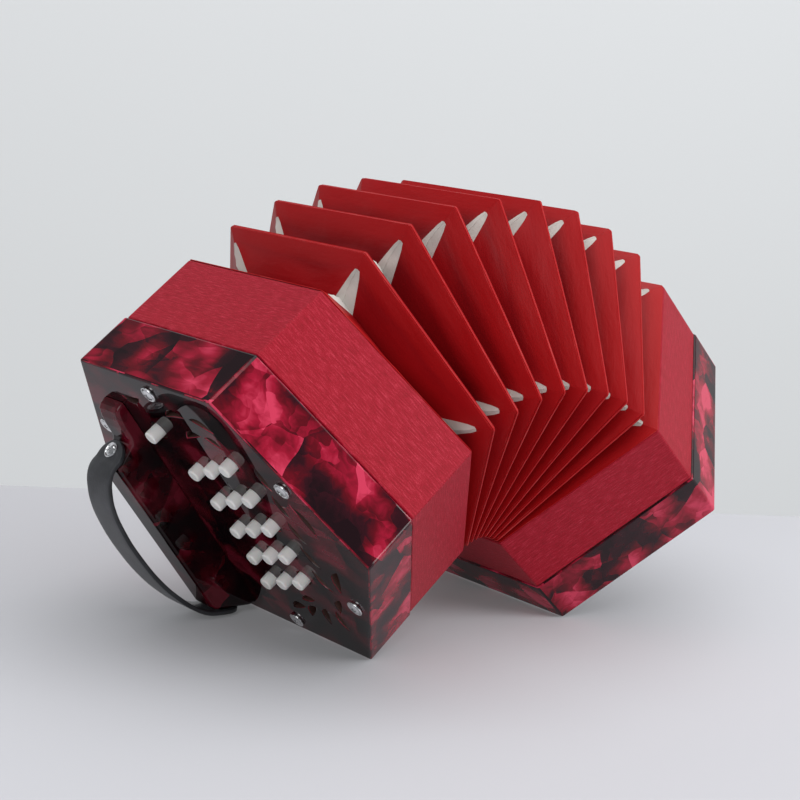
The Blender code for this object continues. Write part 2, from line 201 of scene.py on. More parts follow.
def hexagon(name, apothem, low, high):
    """A six-sided block with flat upper and lower sides."""
    bpy.ops.mesh.primitive_cylinder_add(vertices=6, radius=apothem / math.cos(math.pi / 6),
                                        depth=high - low, location=(0, 0, (low + high) / 2),
                                        rotation=(0, 0, math.pi / 6))
    return added(name)


def drum(name, radius, low, high, place=(0, 0), vertices=32):
    bpy.ops.mesh.primitive_cylinder_add(vertices=vertices, radius=radius, depth=high - low,
                                        location=(place[0], place[1], (low + high) / 2))
    return added(name)


def plate(name, outline, low, high):
    """A flat outline of (x, y) points, filled and extruded from z = low to z = high."""
    bpy.ops.mesh.primitive_circle_add(vertices=len(outline), radius=1, fill_type='NGON')
    piece = added(name)
    for vertex, (x, y) in zip(piece.data.vertices, outline):
        vertex.co = (x, y, low)
    choose(piece, 'FACE', lambda face: True)
    bpy.ops.mesh.extrude_region_move(TRANSFORM_OT_translate={"value": (0, 0, high - low)})
    bpy.ops.mesh.select_all(action='SELECT')
    bpy.ops.mesh.normals_make_consistent(inside=False)
    leave()
    return piece


# %% Seat a piece in the right-hand end, and its twin in the left-hand one
def dress(piece, slot, *finishes):
    """Give the piece its materials, unless it has some already; the slot is not used."""
    if not piece.data.materials:
        for finish in finishes:
            piece.data.materials.append(finish)


def seat(piece, body="root", node=None):
    piece.data.transform(END)
    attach(piece, body)
    if node:
        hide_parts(node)


def twin(piece, name):
    """A mirror image of a piece that is still in the end's own axes."""
    other = piece.copy()
    other.data = piece.data.copy()
    other.name = other.data.name = name
    bpy.context.scene.collection.objects.link(other)
    return other


def seat_twin(piece, body="left_end", node=None):
    piece.data.transform(MIRROR @ END)
    piece.data.flip_normals()
    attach(piece, body)
    if node:
        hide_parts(node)


def seat_pair(piece, node=None):
    """Seat a right-hand piece and its left-hand twin; node is the right-hand node it stands for."""
    other = twin(piece, piece.name.replace("right", "left"))
    seat(piece, "root", node)
    seat_twin(other, "left_end", node and node.replace("right", "left"))


# %% [markdown]
# ## Shader groups
#
# Several finishes share the same few effects, so each effect is a node group with named inputs. The
# first makes fine grain: noise stretched along one direction, as in cloth, brushed leatherette and
# paper. It gives a height for a Bump node and a mask to vary the colour with.

# %% Small helpers for node trees
def node(tree, kind, **inputs):
    made = tree.nodes.new(kind)
    for name, value in inputs.items():
        made.inputs[name.replace("_", " ")].default_value = value
    return made


def join_up(tree, *links):
    for start, end in links:
        tree.links.new(start, end)


def group(name, inputs, outputs):
    """An empty shader group with named sockets; returns the tree and its two ends."""
    tree = bpy.data.node_groups.new(name, 'ShaderNodeTree')
    for label, kind in inputs:
        tree.interface.new_socket(label, in_out='INPUT', socket_type=kind)
    for label, kind in outputs:
        tree.interface.new_socket(label, in_out='OUTPUT', socket_type=kind)
    return tree, tree.nodes.new('NodeGroupInput'), tree.nodes.new('NodeGroupOutput')


def maths(tree, operation, first, second=None):
    made = tree.nodes.new('ShaderNodeMath')
    made.operation = operation
    for socket, value in zip(made.inputs, (first, second)):
        if isinstance(value, (int, float)):
            socket.default_value = value
        elif value is not None:
            tree.links.new(value, socket)
    return made.outputs[0]


def vectors(tree, operation, *values):
    """A vector maths node; each value is a socket or three numbers."""
    made = tree.nodes.new('ShaderNodeVectorMath')
    made.operation = operation
    for socket, value in zip(made.inputs, values):
        if isinstance(value, tuple):
            socket.default_value = value
        else:
            tree.links.new(value, socket)
    return made.outputs


def between(tree, value, low, high):
    """Map a value from low..high to 0..1, clamped."""
    made = node(tree, 'ShaderNodeMapRange', From_Min=low, From_Max=high)
    tree.links.new(value, made.inputs["Value"])
    return made.outputs[0]


def attribute(tree, name):
    """The vector that a piece carries under this name."""
    made = tree.nodes.new('ShaderNodeAttribute')
    made.attribute_name = name
    return made.outputs["Vector"]


def ramp(tree, stops):
    """A colour ramp from (position, colour) stops."""
    made = tree.nodes.new('ShaderNodeValToRGB')
    band = made.color_ramp.elements
    while len(band) < len(stops):
        band.new(0.5)
    for stop, (place, colour) in zip(band, stops):
        stop.position = place
        stop.color = (*colour, 1)
    return made


def place_group(tree, name, **inputs):
    made = tree.nodes.new('ShaderNodeGroup')
    made.node_tree = bpy.data.node_groups[name]
    for label, value in inputs.items():
        made.inputs[label.replace("_", " ")].default_value = value
    return made


# %% Grain: noise stretched along one direction
FLOAT, VECTOR = 'NodeSocketFloat', 'NodeSocketVector'
tree, start, end = group("Grain", [("Vector", VECTOR), ("Stretch", VECTOR), ("Scale", FLOAT)],
                         [("Height", FLOAT), ("Mask", FLOAT)])
stretched = vectors(tree, 'MULTIPLY', start.outputs["Vector"], start.outputs["Stretch"])[0]
fine = node(tree, 'ShaderNodeTexNoise', Detail=4.0, Roughness=0.6)
broad = node(tree, 'ShaderNodeTexNoise', Detail=2.0, Roughness=0.5)
BROADER = 0.13                     # scale of the mask against the scale of the grain itself
join_up(tree, (stretched, fine.inputs["Vector"]), (stretched, broad.inputs["Vector"]),
        (start.outputs["Scale"], fine.inputs["Scale"]),
        (maths(tree, 'MULTIPLY', start.outputs["Scale"], BROADER), broad.inputs["Scale"]),
        (fine.outputs[0], end.inputs["Height"]), (broad.outputs[0], end.inputs["Mask"]))

# %% [markdown]
# Pearl celluloid is pressed from crumpled pearly sheet. It shows shards a centimetre or two wide, each
# shaded from dark to bright along its own direction, with sharp borders and a few fold streaks. A
# Voronoi texture gives the shards: its colour output is a random direction for each of them, and the
# distance from the shard's middle along that direction gives the shading. Broad noise decides where
# the sheet is mostly dark and where it shines.

# %% Shards: crumpled sheet with sharp borders
MIDDLE = (0.5, 0.5, 0.5)
SWIRL_SCALE, LEAN = 0.9, 1.3
tree, start, end = group("Shards", [("Vector", VECTOR), ("Scale", FLOAT), ("Swirl", FLOAT)],
                         [("Shade", FLOAT)])
swirl = node(tree, 'ShaderNodeTexNoise', Detail=1.5)
join_up(tree, (start.outputs["Vector"], swirl.inputs["Vector"]),
        (maths(tree, 'MULTIPLY', start.outputs["Scale"], SWIRL_SCALE), swirl.inputs["Scale"]))
push = vectors(tree, 'SUBTRACT', swirl.outputs["Color"], MIDDLE)[0]
bent = vectors(tree, 'MULTIPLY_ADD', push, start.outputs["Swirl"], start.outputs["Vector"])[0]
chips = node(tree, 'ShaderNodeTexVoronoi', Randomness=1.0)
chance = tree.nodes.new('ShaderNodeSeparateColor')
join_up(tree, (bent, chips.inputs["Vector"]), (start.outputs["Scale"], chips.inputs["Scale"]),
        (chips.outputs["Color"], chance.inputs[0]))
direction = vectors(tree, 'SUBTRACT', chips.outputs["Color"], MIDDLE)[0]
from_middle = vectors(tree, 'SUBTRACT', bent, chips.outputs["Position"])[0]
slope = vectors(tree, 'DOT_PRODUCT', direction, from_middle)["Value"]
leant = maths(tree, 'MULTIPLY', slope, start.outputs["Scale"])
shaded = maths(tree, 'ADD', maths(tree, 'MULTIPLY', leant, LEAN), chance.outputs[2])
join_up(tree, (shaded, end.inputs["Shade"]))

# %% [markdown]
# ## Finishes
#
# Every finish is a Principled shader with its pattern built from Object coordinates or from an
# attribute that a piece carries. Values that are the same all over a piece are set on the shader.

# %% Make a material with its shader at hand
def material(name, **settings):
    made = bpy.data.materials.new(name)
    made.use_nodes = True
    shader = made.node_tree.nodes["Principled BSDF"]
    for label, value in settings.items():
        shader.inputs[label.replace("_", " ")].default_value = value
    return made, made.node_tree, shader


def bump(tree, shader, height, strength, distance):
    made = node(tree, 'ShaderNodeBump', Strength=strength, Distance=distance)
    join_up(tree, (height, made.inputs["Height"]), (made.outputs[0], shader.inputs["Normal"]))


# %% Crimson pearl celluloid
SHARES = {"zones": 0.48, "large": 0.40, "small": 0.15, "streaks": 0.30}


def pearl_celluloid(name, night, dark, middle, bright, gleam):
    """Pearl sheet in five tones, from its darkest zones to its gleaming folds."""
    made, tree, shader = material(name, Roughness=0.25, Coat_Weight=0.65, Coat_Roughness=0.02,
                                  Specular_IOR_Level=0.0)
    places = tree.nodes.new('ShaderNodeTexCoord')
    moved = vectors(tree, 'ADD', places.outputs["Object"], attribute(tree, "sheet"))[0]
    slanted = node(tree, 'ShaderNodeMapping', Rotation=(0.5, 0.9, 0.7), Scale=(1.0, 0.30, 1.0))
    zones = node(tree, 'ShaderNodeTexNoise', Scale=42.0, Detail=1.0, Roughness=0.4)
    streaks = node(tree, 'ShaderNodeTexNoise', Scale=150.0, Detail=2.0, Roughness=0.55, Distortion=1.2)
    large = place_group(tree, "Shards", Scale=40.0, Swirl=0.017)
    small = place_group(tree, "Shards", Scale=110.0, Swirl=0.012)
    join_up(tree, (moved, slanted.inputs["Vector"]), (moved, zones.inputs["Vector"]),
            (moved, large.inputs["Vector"]), (slanted.outputs[0], small.inputs["Vector"]),
            (slanted.outputs[0], streaks.inputs["Vector"]))
    layers = {"zones": between(tree, zones.outputs[0], 0.30, 0.66), "large": large.outputs[0],
              "small": small.outputs[0], "streaks": streaks.outputs[0]}
    shares = [maths(tree, 'MULTIPLY', layers[layer], share) for layer, share in SHARES.items()]
    whole = shares[0]
    for share in shares[1:]:
        whole = maths(tree, 'ADD', whole, share)
    colours = ramp(tree, [(0.34, night), (0.54, dark), (0.68, middle), (0.84, bright), (1.0, gleam)])
    join_up(tree, (whole, colours.inputs[0]), (colours.outputs[0], shader.inputs["Base Color"]))
    return made


pearl = pearl_celluloid("crimson pearl celluloid", (0.010, 0.002, 0.004), (0.028, 0.003, 0.007),
                        (0.11, 0.002, 0.008), (0.30, 0.006, 0.026), (0.56, 0.04, 0.09))
# The same pearl, several times darker, is painted shade for the end plates and the palm rails.
shaded_pearl = pearl_celluloid("dark crimson pearl", (0.003, 0.0005, 0.001), (0.007, 0.0005, 0.0015),
                             (0.018, 0.0005, 0.002), (0.05, 0.001, 0.004), (0.12, 0.006, 0.015))

# %% [markdown]
# Leatherette and bellows paper are wrapped round the instrument, so their grain has to follow each
# side. Pieces in these finishes carry an attribute, "wrap": how far along its side a point lies, how
# deep it lies and which side it belongs to. Noise laid in those coordinates turns every corner.

# %% Red leatherette, with its grain running round the frame
leatherette, tree, shader = material("red leatherette", Roughness=0.45, Specular_IOR_Level=0.16)
wrap = attribute(tree, "wrap")
grain = place_group(tree, "Grain", Scale=1300.0, Stretch=(0.12, 1.0, 1.0))
flecks = place_group(tree, "Grain", Scale=2600.0, Stretch=(0.5, 1.0, 1.0))
tones = ramp(tree, [(0.34, (0.22, 0.002, 0.008)), (0.52, (0.32, 0.004, 0.017)),
                    (0.68, (0.52, 0.036, 0.066))])
join_up(tree, (wrap, grain.inputs["Vector"]), (wrap, flecks.inputs["Vector"]))
both = maths(tree, 'ADD', maths(tree, 'MULTIPLY', grain.outputs["Height"], 0.6),
             maths(tree, 'MULTIPLY', flecks.outputs["Height"], 0.4))
join_up(tree, (both, tones.inputs[0]), (tones.outputs[0], shader.inputs["Base Color"]))
bump(tree, shader, both, 0.45, 0.0004)

# %% Bellows paper: rubbed pale on the ridges, with painted light near them and painted shade towards the valleys
paper, tree, shader = material("red bellows paper", Roughness=0.42, Specular_IOR_Level=0.16)
wrap = attribute(tree, "wrap")
creases = place_group(tree, "Grain", Scale=170.0, Stretch=(0.35, 1.0, 1.0))
tones = ramp(tree, [(0.36, (0.13, 0.001, 0.003)), (0.64, (0.34, 0.006, 0.009))])
depth = tree.nodes.new('ShaderNodeSeparateXYZ')
join_up(tree, (wrap, depth.inputs[0]), (wrap, creases.inputs["Vector"]))
RUFFLE, WEAR_AND_SHADE_DEPTH = 0.003, 0.030
ruffled = maths(tree, 'ADD', depth.outputs["Y"], maths(tree, 'MULTIPLY', creases.outputs["Height"], RUFFLE))
# Right on the ridge the paper is rubbed pale. The lighter band below it and the darker paper deeper down are
# painted light and shade.
worn_and_shaded = ramp(tree, [(0.0, (0.60, 0.09, 0.09)), (0.05, (0.36, 0.005, 0.007)), (0.28, (0.33, 0.005, 0.007)),
                   (0.62, (0.14, 0.001, 0.003))])
mixed = tree.nodes.new('ShaderNodeMix')
mixed.data_type = 'RGBA'
mixed.blend_type = 'LIGHTEN'
mixed.inputs[0].default_value = 1.0
join_up(tree, (creases.outputs["Mask"], tones.inputs[0]),
        (between(tree, ruffled, 0.0, WEAR_AND_SHADE_DEPTH), worn_and_shaded.inputs[0]),
        (tones.outputs[0], mixed.inputs[6]), (worn_and_shaded.outputs[0], mixed.inputs[7]),
        (mixed.outputs[2], shader.inputs["Base Color"]))
bump(tree, shader, creases.outputs["Height"], 0.45, 0.0008)

# %% Leathers, ivory plastic, chrome, timber, ply edges darkened as painted shade, lever metal and felt
PLAIN = (1.0, 1.0, 1.0)


def simple_finish(name, dark, light, scale, stretch=PLAIN, height=0.0, strength=0.3, stops=(0.3, 0.7),
                  **settings):
    """A finish whose colour drifts a little along its grain."""
    made, tree, shader = material(name, **settings)
    places = tree.nodes.new('ShaderNodeTexCoord')
    grain = place_group(tree, "Grain", Scale=scale, Stretch=stretch)
    tones = ramp(tree, list(zip(stops, (dark, light))))
    join_up(tree, (places.outputs["Object"], grain.inputs["Vector"]),
            (grain.outputs["Mask"], tones.inputs[0]), (tones.outputs[0], shader.inputs["Base Color"]))
    if height:
        bump(tree, shader, grain.outputs["Height"], strength, height)
    return made


gusset = simple_finish("pale gusset leather", (0.42, 0.40, 0.37), (0.62, 0.60, 0.56), 420.0,
                       height=0.0004, strength=0.4, Roughness=0.70, Specular_IOR_Level=0.3)
strap_leather = simple_finish("black strap leather", (0.020, 0.021, 0.024), (0.044, 0.046, 0.052), 700.0,
                              height=0.0003, strength=0.35, stops=(0.35, 0.75), Roughness=0.38,
                              Specular_IOR_Level=0.5)
ivory = simple_finish("ivory plastic", (0.80, 0.79, 0.76), (0.90, 0.89, 0.86), 500.0, Roughness=0.28,
                      Subsurface_Weight=0.08, Subsurface_Scale=0.002)
chrome = simple_finish("polished chrome", (0.66, 0.67, 0.68), (0.82, 0.82, 0.83), 900.0,
                       Roughness=0.14, Metallic=1.0)
timber = simple_finish("plain timber", (0.46, 0.29, 0.15), (0.62, 0.43, 0.25), 260.0, (1.0, 0.08, 1.0),
                       0.0003, Roughness=0.6)
# This cut edge is far darker than the timber: painted shade in the fret cuts and inside the box.
shaded_ply = simple_finish("cut ply edge", (0.030, 0.012, 0.010), (0.090, 0.040, 0.030), 900.0, (0.1, 0.1, 1.0),
                    Roughness=0.55)
lever_metal = simple_finish("lever strip", (0.45, 0.45, 0.45), (0.60, 0.60, 0.60), 700.0, Roughness=0.35,
                            Metallic=1.0)
felt = simple_finish("pad felt", (0.52, 0.48, 0.38), (0.66, 0.62, 0.52), 1500.0, height=0.0005,
                     Roughness=0.95)

# %% [markdown]
# ## The end boxes
#
# Each end is a hexagonal box of pearl-covered wood. Its plate is fretted: leaves cut through it let
# the sound out. A six-sided cylinder is hollowed with an inset and an extrusion, and Boolean cuts
# open the leaves and the button holes. Cutters that crossed each other would fail, so none do.

# %% Outlines of the fretwork
LEAF_POINTS = 8


def leaf(x, y, length, width, turn, bow=0.0):
    """A pointed leaf round (x, y), turned and bowed sideways."""
    points = []
    for edge in (1, -1):
        for i in range(LEAF_POINTS):
            t = i / LEAF_POINTS if edge == 1 else 1 - i / LEAF_POINTS
            along = (t - 0.5) * length
            side = edge * width / 2 * math.sin(math.pi * t) ** 0.8 + bow * (1 - (2 * t - 1) ** 2)
            points.append((along, side))
    cos, sin = math.cos(turn), math.sin(turn)
    return [(x + a * cos - s * sin, y + a * sin + s * cos) for a, s in points]


SCROLL = [(-0.0240, 0.0745, 0.016, 0.0042, 8, -0.0020), (0.0100, 0.0705, 0.018, 0.0042, 12, 0.0025),
          (0.0315, 0.0705, 0.016, 0.0042, -18, 0.0020), (0.0165, 0.0590, 0.016, 0.0042, 20, 0.0020),
          (0.0330, 0.0595, 0.012, 0.0040, -25, 0.0015), (0.0730, 0.0210, 0.020, 0.0052, 112, -0.0020),
          (0.0700, -0.0250, 0.020, 0.0052, 66, 0.0020), (0.0270, -0.0560, 0.013, 0.0042, 20, 0.0010),
          (0.0560, -0.0490, 0.014, 0.0046, 60, 0.0012)]
VINE = [(0.0600 - 0.0006 * (i - 1) ** 2, 0.044 - 0.0185 * i, 0.0150, 0.0046, 100 + 5 * i, 0.0012)
        for i in range(5)]
SPRAY = [(0.012 + 0.0125 * i, -0.068 + 0.0016 * i, 0.0150, 0.0048, 24 + 24 * i, 0.0015) for i in range(4)]
fret_outlines = [leaf(x, y, a, b, math.radians(turn), bow) for x, y, a, b, turn, bow in SCROLL + VINE + SPRAY]
print(len(fret_outlines), "leaves in the fretwork of each end")

# %% Places of the buttons, read from the frame
PROUD = 0.001


def cap_place(name):
    """Middle and top of a right-hand button's cap, where it stands proud of the plate."""
    points = [END.inverted() @ v.co for v in frame["nodes"][name].data.vertices]
    tip = [p for p in points if p.z > PROUD]
    low_x, high_x = min(p.x for p in tip), max(p.x for p in tip)
    low_y, high_y = min(p.y for p in tip), max(p.y for p in tip)
    return (low_x + high_x) / 2, (low_y + high_y) / 2, max(p.z for p in tip)


right_buttons = sorted(n for n in frame["nodes"] if n.startswith("right_button")) + ["air_button"]
caps = {name: cap_place(name) for name in right_buttons}
print(len(caps), "buttons on the right-hand end")

# %% One end box
WALL, PLATE, RIM, OUTER_ROUND, FRET_ROUND = 0.005, 0.004, 0.003, 0.0011, 0.00035
HOLE, AIR_HOLE = 0.0047, 0.0055


def end_box(hand):
    box = hexagon(f"{hand}_pearl_end_box", CASE_APOTHEM, -CASE_DEPTH, 0)
    round_edges(box, OUTER_ROUND, 3, 40)
    choose(box, 'FACE', lambda f: f.normal.z < -0.99)
    bpy.ops.mesh.inset(thickness=WALL - OUTER_ROUND)
    bpy.ops.mesh.extrude_region_move(TRANSFORM_OT_translate={"value": (0, 0, CASE_DEPTH - PLATE)})
    leave()
    holes = [name for name in caps if hand == "right" or name != "air_button"]
    cutters = [drum("hole", AIR_HOLE if name == "air_button" else HOLE, -2 * PLATE, PLATE, caps[name][:2], 28)
               for name in holes]
    cutters += [plate("leaf", outline, -2 * PLATE, PLATE) for outline in fret_outlines]
    cutter = join(cutters, "fret_cutter")
    apply(box, 'BOOLEAN', object=cutter, operation='DIFFERENCE', solver='EXACT')
    bpy.data.objects.remove(cutter, do_unlink=True)
    return box


def on_fret_rim(box):
    """A test for the edges where the cuts meet the plate's outer face."""
    slopes = {}
    for face in box.data.polygons:
        for key in face.edge_keys:
            slopes.setdefault(key, []).append(face.normal.z)
    inner = CASE_APOTHEM - WALL

    def test(edge):
        ends = [box.data.vertices[i].co for i in edge.vertices]
        level = all(abs(p.z) < 1e-6 for p in ends)
        inside = all(abs(p.y) < inner and abs(p.x) < inner for p in ends)
        return level and inside and min(slopes[edge.key]) < 0.5 < max(slopes[edge.key])
    return test


# %% Round the rims, and give each face its own sheet of pearl
SHEETS = 11


def sheet_of(face):
    """A number for the sheet that a face was cut from: the six sides, the plate and the rest."""
    if abs(face.normal.z) > 0.5:
        return 7 if face.center.z > -PLATE / 2 else 8
    if max(abs(face.center.x), abs(face.center.y)) < CASE_APOTHEM - 0.02:
        return 9
    return round(math.atan2(face.normal.y, face.normal.x) / (math.pi / 3)) % 6


def lay_sheets(piece, number=sheet_of, seed=3):
    """Store on every face how far its sheet of pearl is shifted, so that no two sides match."""
    random.seed(seed)
    shifts = [Vector((random.random(), random.random(), random.random())) for _ in range(SHEETS)]
    layer = piece.data.attributes.new("sheet", 'FLOAT_VECTOR', 'FACE')
    for face, value in zip(piece.data.polygons, layer.data):
        value.vector = shifts[number(face)]


def show_shaded_ply(box):
    """Pearl outside, pearl darkened as painted shade on the plate, and wood darkened as painted shade in the
    plate's cuts and behind it.
    """
    for finish in (pearl, shaded_ply, shaded_pearl):
        box.data.materials.append(finish)
    for face in box.data.polygons:
        x, y, z = abs(face.center.x), abs(face.center.y), face.center.z
        within = max(x * math.cos(math.pi / 6) + y / 2, y) < CASE_APOTHEM - RIM
        cut = within and abs(face.normal.z) < 0.3 and -PLATE < z < 0
        under = within and z < -PLATE * 0.9
        face.material_index = 1 if cut or under else 2 if face.normal.z > 0.9 else 0


for hand in ("right", "left"):
    box = end_box(hand)
    choose(box, 'EDGE', on_fret_rim(box))
    bpy.ops.mesh.bevel(offset=FRET_ROUND, segments=2, affect='EDGES')
    leave()
    show_shaded_ply(box)
    lay_sheets(box, seed=3 if hand == "right" else 8)
    shade(box, 30)
    dress(box, "pearl")
    if hand == "right":
        seat(box, "root", "right_end_box")
    else:
        seat_twin(box, "left_end", "left_end_box")
    print(box.name, len(box.data.polygons), "faces")

# %% [markdown]
# ## End bolts and strap screws
#
# Six long bolts hold each end together. Their heads sit in cup washers, which show as bright rings.
# One bolt is modelled from two short drums: insets sink the cup and raise the domed head, and two
# crossed slots are cut into it. Copies are then turned by chance, as real screws end up.

# %% One bolt head in its cup washer, at the origin
WASHER, HEAD, CUP_HEIGHT, CUP_SINK = 0.0046, 0.0031, 0.0013, 0.0006
DOME = ((0.0005, 0.0003), (0.0007, 0.0002), (0.0008, 0.0001))     # inset and rise of each step
SLOT_LONG, SLOT_WIDE, SLOT_DEEP = 0.0034, 0.0006, 0.0012


def bolt_head():
    cup = drum("cup", WASHER, 0.00005, CUP_HEIGHT, vertices=40)
    choose(cup, 'FACE', lambda f: f.normal.z > 0.9)
    bpy.ops.mesh.inset(thickness=0.0006)
    bpy.ops.mesh.inset(thickness=0.0008)
    bpy.ops.transform.translate(value=(0, 0, -CUP_SINK))
    leave()
    round_edges(cup, 0.0002, 2, 50)
    head = drum("head", HEAD, CUP_HEIGHT - CUP_SINK, CUP_HEIGHT + 0.0001, vertices=40)
    choose(head, 'FACE', lambda f: f.normal.z > 0.9)
    for step, rise in DOME:
        bpy.ops.mesh.inset(thickness=step)
        bpy.ops.transform.translate(value=(0, 0, rise))
    leave()
    for length, width in ((SLOT_LONG, SLOT_WIDE), (SLOT_WIDE, SLOT_LONG)):
        bpy.ops.mesh.primitive_cube_add(size=1, location=(0, 0, CUP_HEIGHT + 0.0007),
                                        scale=(length, width, SLOT_DEEP))
        slot = added("slot")
        apply(head, 'BOOLEAN', object=slot, operation='DIFFERENCE', solver='EXACT')
        bpy.data.objects.remove(slot, do_unlink=True)
    return join([cup, head], "bolt")


# %% Place copies of it
def facing(place, normal=(0, 0, 1)):
    """A matrix that carries the bolt head to a place, with its top towards the normal."""
    return Matrix.Translation(place) @ Vector(normal).to_track_quat('Z', 'X').to_matrix().to_4x4()


def set_screws(name, places, size, seed):
    """Copies of the bolt head at the given places, joined as one piece."""
    random.seed(seed)
    pattern = bolt_head()
    copies = []
    for place in places:
        copy = twin(pattern, "copy")
        turn = Matrix.Rotation(random.uniform(0, math.pi / 2), 4, 'Z')
        copy.data.transform(place @ turn @ Matrix.Scale(size, 4))
        copies.append(copy)
    bpy.data.objects.remove(pattern, do_unlink=True)
    whole = join(copies, name)
    shade(whole, 35)
    dress(whole, "chrome", chrome)
    seat_pair(whole)
    print(name, len(places), "screws")


BOLT_INSET = 0.009
bolt_reach = CASE_APOTHEM - BOLT_INSET
turns = [math.radians(30 + 60 * i) for i in range(6)]
bolt_places = [facing((bolt_reach * math.cos(t), bolt_reach * math.sin(t), 0)) for t in turns]
set_screws("right_end_bolts", bolt_places, 1.0, 5)

# %% [markdown]
# ## The hand rail
#
# The palm rests on a bar beside the buttons. Its side outline has a low toe at the upper end, then a
# slope that the strap is screwed to, a level top, and another slope down to the lower edge. The
# outline is filled, extruded to the bar's width and rounded generously, because celluloid is always
# rolled over the edges of a rail.

# %% Rail outline and body
rail_low, rail_high = in_end("right_hand_rail")
rail_x = (rail_low.x + rail_high.x) / 2
rail_half = (rail_high.x - rail_low.x) / 2
RAIL_UPPER = [(0.0678, rail_low.z), (0.0672, 0.0042), (0.0655, 0.0062), (0.0610, 0.0075), (0.0560, 0.0081),
              (0.0485, 0.0083), (0.0464, 0.0092), (0.0424, 0.0202), (0.0413, 0.0221), (0.0395, rail_high.z)]
RAIL_LOWER = [(-0.0650, rail_high.z), (-0.0675, 0.0223), (-0.0695, 0.0206), (-0.0805, 0.0077),
              (-0.0830, 0.0048), (-0.0845, 0.0022), (-0.0848, rail_low.z)]
SIDEWAYS = Matrix(((0, 0, 1, rail_x), (1, 0, 0, 0), (0, 1, 0, 0), (0, 0, 0, 1)))

rail = plate("right_palm_rail", RAIL_UPPER + RAIL_LOWER, -rail_half, rail_half)
rail.data.transform(SIDEWAYS)
choose(rail, 'EDGE', lambda e: len({round(rail.data.vertices[i].co.x, 6) for i in e.vertices}) == 1
       and max(rail.data.vertices[i].co.z for i in e.vertices) > 0.001)
bpy.ops.mesh.bevel(offset=0.0018, segments=4, affect='EDGES')
leave()
lay_sheets(rail, lambda face: 10, 12)
shade(rail, 40)
# The rail takes the pearl darkened as painted shade, as the plate does.
dress(rail, "pearl", shaded_pearl)
seat_pair(rail, "right_hand_rail")
print("rail", [round(1000 * v, 1) for v in (rail_high - rail_low)], "mm")

# %% [markdown]
# ## The hand strap
#
# A leather strap arches over the back of the hand. Its centre line is a smooth curve through a few
# points; the curve is given the strap's width by an extrusion, then thickness. The two tabs lie on the
# rail's slopes and are drawn in to round ends round their screws.

# %% Strap: curve, ribbon, round tabs, thickness
STRAP_WIDTH, STRAP = 0.020, 0.0024
STRAP_KNOTS = [(0.0476, 0.0103), (0.0456, 0.0158), (0.0440, 0.0202), (0.0436, 0.0238), (0.0424, 0.0268),
               (0.0396, 0.0300), (0.0350, 0.0330), (0.0270, 0.0365), (0.0130, 0.0392), (-0.0080, 0.0401),
               (-0.0290, 0.0386), (-0.0450, 0.0352), (-0.0570, 0.0312), (-0.0645, 0.0272), (-0.0706, 0.0216),
               (-0.0760, 0.0153), (-0.0810, 0.0094)]

bpy.ops.curve.primitive_bezier_curve_add()
strap = bpy.context.active_object
strap.name = strap.data.name = "right_leather_strap"
strap.data.dimensions = '2D'
strap.data.fill_mode = 'NONE'
strap.data.resolution_u = 6
strap.data.extrude = STRAP_WIDTH / 2
spline = strap.data.splines[0]
spline.bezier_points.add(len(STRAP_KNOTS) - 2)
for point, (y, z) in zip(spline.bezier_points, STRAP_KNOTS):
    point.co = (y, z, 0)
    point.handle_left_type = point.handle_right_type = 'AUTO'
bpy.ops.object.convert(target='MESH')
choose(strap, 'EDGE', lambda e: abs(strap.data.vertices[e.vertices[0]].co.z
                                    - strap.data.vertices[e.vertices[1]].co.z) > STRAP_WIDTH / 2)
bpy.ops.mesh.subdivide(number_cuts=5)
leave()

# %% Round the tabs
TAB_ROUND = STRAP_WIDTH / 2
for vertex in strap.data.vertices:
    gap = min((vertex.co.xy - Vector(STRAP_KNOTS[i])).length for i in (0, -1))
    if gap < TAB_ROUND:
        vertex.co.z *= max(0.22, math.sqrt(1 - (1 - gap / TAB_ROUND) ** 2))
apply(strap, 'SOLIDIFY', thickness=STRAP, offset=0)
round_edges(strap, 0.0007, 3, 50)
strap.data.transform(SIDEWAYS)
choose(strap, 'FACE', lambda f: True)
bpy.ops.mesh.normals_make_consistent(inside=False)
leave()
shade(strap, 40, keep_flat=False)
dress(strap, "strap", strap_leather)
seat_pair(strap, "right_hand_strap")

# %% Strap screws, square to the rail's slopes
def on_tab(before, middle, after, sink):
    """Where a screw sits on the strap's outer face, at the middle one of three knots."""
    along = (Vector(after) - Vector(before)).normalized()
    outward = Vector((-along.y, along.x))
    if outward.y < 0:
        outward = -outward
    y, z = Vector(middle) + outward * (STRAP / 2 - sink)
    return facing((rail_x, y, z), (0, *outward))


UPPER_SINK, LOWER_SINK, STRAP_SCREW = 0.0003, 0.0006, 0.92       # the size is against an end bolt
set_screws("right_strap_screws", [on_tab(*STRAP_KNOTS[:3], UPPER_SINK),
                                  on_tab(*STRAP_KNOTS[-3:], LOWER_SINK)], STRAP_SCREW, 9)

# %% [markdown]
# ## Buttons, levers and pads
#
# A button is glued to a lever that rocks on an axle wire; the far end of the lever lifts a pad off
# its air hole. Cap, lever and pad move as one, so they are joined into one piece with a finish for
# each part. Only the cap and what shows through the fretwork is ever seen.

# %% One button with its action
CAP_RADIUS, CAP_FOOT, CAP_INSET, CAP_DOME, CAP_ROUND = 0.0038, -0.0105, 0.0009, 0.00025, 0.0008
LEVER_WIDE, LEVER_TALL, LEVER_BELOW = 0.0014, 0.0030, 0.0019
PAD_RADIUS, PAD_TALL = 0.0050, 0.0033
pivot = next(j for j in frame["joints"] if j["name"] == "press_right_button_1_3")
pivot_x, _, pivot_z = END.inverted() @ Vector(pivot["pos_m"])


